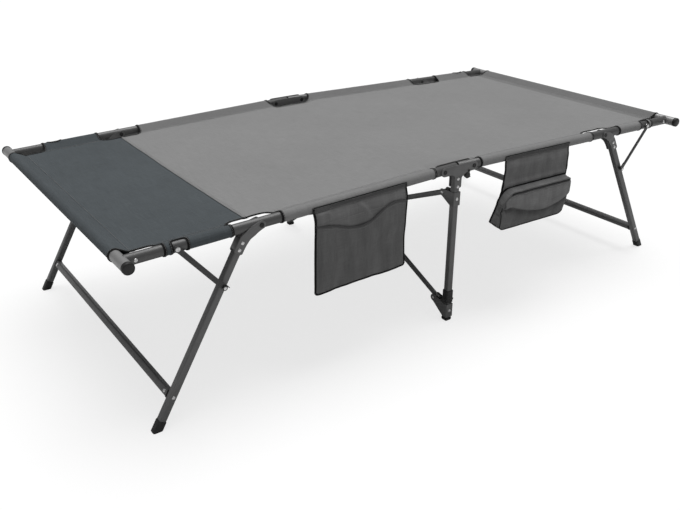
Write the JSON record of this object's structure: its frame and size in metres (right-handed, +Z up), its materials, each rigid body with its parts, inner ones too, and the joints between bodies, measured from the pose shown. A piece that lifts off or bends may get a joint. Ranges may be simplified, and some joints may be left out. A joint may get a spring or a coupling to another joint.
{
  "type": "camping cot",
  "caption": "Folding camp cot: steel frame in two hinged halves on a middle frame, splayed leg frames with lift-off props, fabric bed and side pockets.",
  "frame": {"origin": "on the floor under the middle of the bed", "axes": "+X towards the foot end, -Y towards the side with the pockets, +Z up"},
  "size_m": [2.0312, 1.0206, 0.5161],
  "materials": {
    "grey_steel": "dark grey powder coat",
    "bar_steel": "mid grey powder coat",
    "zinc": "zinc plated",
    "black_steel": "blackened steel",
    "black_plastic": "moulded black plastic",
    "bed_fabric": "woven polyester, mid grey",
    "head_fabric": "woven polyester, dark blue grey",
    "pocket_fabric": "woven polyester, charcoal"
  },
  "bodies": {
    "middle_frame": {"collar_far": "black_plastic", "collar_near": "black_plastic", "diagonal_far": "grey_steel", "diagonal_near": "grey_steel", "diagonal_rivet": "zinc", "foot_saddle_pin_far": "black_steel", "foot_saddle_pin_near": "black_steel", "head_saddle_pin_far": "black_steel", "head_saddle_pin_near": "black_steel", "lower_bracket_far": "grey_steel", "lower_bracket_near": "grey_steel", "middle_leg_far": "grey_steel", "middle_leg_near": "grey_steel", "middle_pad_far": "black_plastic", "middle_pad_near": "black_plastic", "saddle_far": "grey_steel", "saddle_near": "grey_steel", "upper_bracket_far": "grey_steel", "upper_bracket_near": "grey_steel"},
    "head_half": {"bed_cloth_head": "bed_fabric", "head_bar": "bar_steel", "head_bar_cap_far": "black_plastic", "head_bar_cap_near": "black_plastic", "head_leg_pin_far": "black_steel", "head_leg_pin_near": "black_steel", "head_panel": "head_fabric", "head_rail_far": "grey_steel", "head_rail_near": "grey_steel"},
    "foot_half": {"bed_cloth_foot": "bed_fabric", "foot_bar": "bar_steel", "foot_bar_cap_far": "black_plastic", "foot_bar_cap_near": "black_plastic", "foot_leg_pin_far": "black_steel", "foot_leg_pin_near": "black_steel", "foot_rail_far": "grey_steel", "foot_rail_near": "grey_steel"},
    "head_legs": {"head_cross_bar": "grey_steel", "head_leg_bracket_far": "grey_steel", "head_leg_bracket_near": "grey_steel", "head_leg_far": "grey_steel", "head_leg_near": "grey_steel", "head_shoe_far": "black_plastic", "head_shoe_near": "black_plastic"},
    "foot_legs": {"foot_cross_bar": "grey_steel", "foot_leg_bracket_far": "grey_steel", "foot_leg_bracket_near": "grey_steel", "foot_leg_far": "grey_steel", "foot_leg_near": "grey_steel", "foot_shoe_far": "black_plastic", "foot_shoe_near": "black_plastic"},
    "head_prop_near": {"head_prop_near": "grey_steel"},
    "head_prop_far": {"head_prop_far": "grey_steel"},
    "foot_prop_near": {"foot_prop_near": "grey_steel"},
    "foot_prop_far": {"foot_prop_far": "grey_steel"},
    "latch_near": {"latch_tab_near": "black_plastic"},
    "latch_far": {"latch_tab_far": "black_plastic"},
    "organiser_pocket": {"organiser_pocket": "pocket_fabric"},
    "zip_pocket": {"zip_pocket": "pocket_fabric"}
  },
  "joints": [
    {"name": "head_half_fold", "type": "hinge", "parent": "middle_frame", "child": "head_half", "pos_m": [-0.056, 0, 0.49977], "axis": [0, -1, 0], "range_deg": [0, 88.5]},
    {"name": "head_legs_fold", "type": "hinge", "parent": "head_half", "child": "head_legs", "pos_m": [-0.65, 0, 0.4867], "axis": [0, -1, 0], "range_deg": [0, 121.5]},
    {"name": "head_prop_near_lift", "type": "hinge", "parent": "head_half", "child": "head_prop_near", "pos_m": [-0.872, -0.463, 0.48182], "axis": [0, -1, 0], "range_deg": [0, 48]},
    {"name": "head_prop_far_lift", "type": "hinge", "parent": "head_half", "child": "head_prop_far", "pos_m": [-0.872, 0.463, 0.48182], "axis": [0, -1, 0], "range_deg": [0, 48]},
    {"name": "foot_half_fold", "type": "hinge", "parent": "middle_frame", "child": "foot_half", "pos_m": [0.056, 0, 0.49977], "axis": [0, 1, 0], "range_deg": [0, 88.5]},
    {"name": "foot_legs_fold", "type": "hinge", "parent": "foot_half", "child": "foot_legs", "pos_m": [0.65, 0, 0.4867], "axis": [0, 1, 0], "range_deg": [0, 121.5]},
    {"name": "foot_prop_near_lift", "type": "hinge", "parent": "foot_half", "child": "foot_prop_near", "pos_m": [0.872, -0.463, 0.48182], "axis": [0, 1, 0], "range_deg": [0, 48]},
    {"name": "foot_prop_far_lift", "type": "hinge", "parent": "foot_half", "child": "foot_prop_far", "pos_m": [0.872, 0.463, 0.48182], "axis": [0, 1, 0], "range_deg": [0, 48]},
    {"name": "latch_near_press", "type": "hinge", "parent": "middle_frame", "child": "latch_near", "pos_m": [0.036, -0.463, 0.48801], "axis": [0, 1, 0], "range_deg": [0, 20]},
    {"name": "latch_far_press", "type": "hinge", "parent": "middle_frame", "child": "latch_far", "pos_m": [0.036, 0.463, 0.48801], "axis": [0, 1, 0], "range_deg": [0, 20]},
    {"name": "organiser_pocket_swing", "type": "hinge", "parent": "head_half", "child": "organiser_pocket", "pos_m": [-0.352, -0.4787, 0.49476], "axis": [-0.9998, 0, -0.022], "range_deg": [0, 90]},
    {"name": "zip_pocket_swing", "type": "hinge", "parent": "foot_half", "child": "zip_pocket", "pos_m": [0.3285, -0.4787, 0.49527], "axis": [-0.9998, 0, 0.022], "range_deg": [0, 90]}
  ]
}
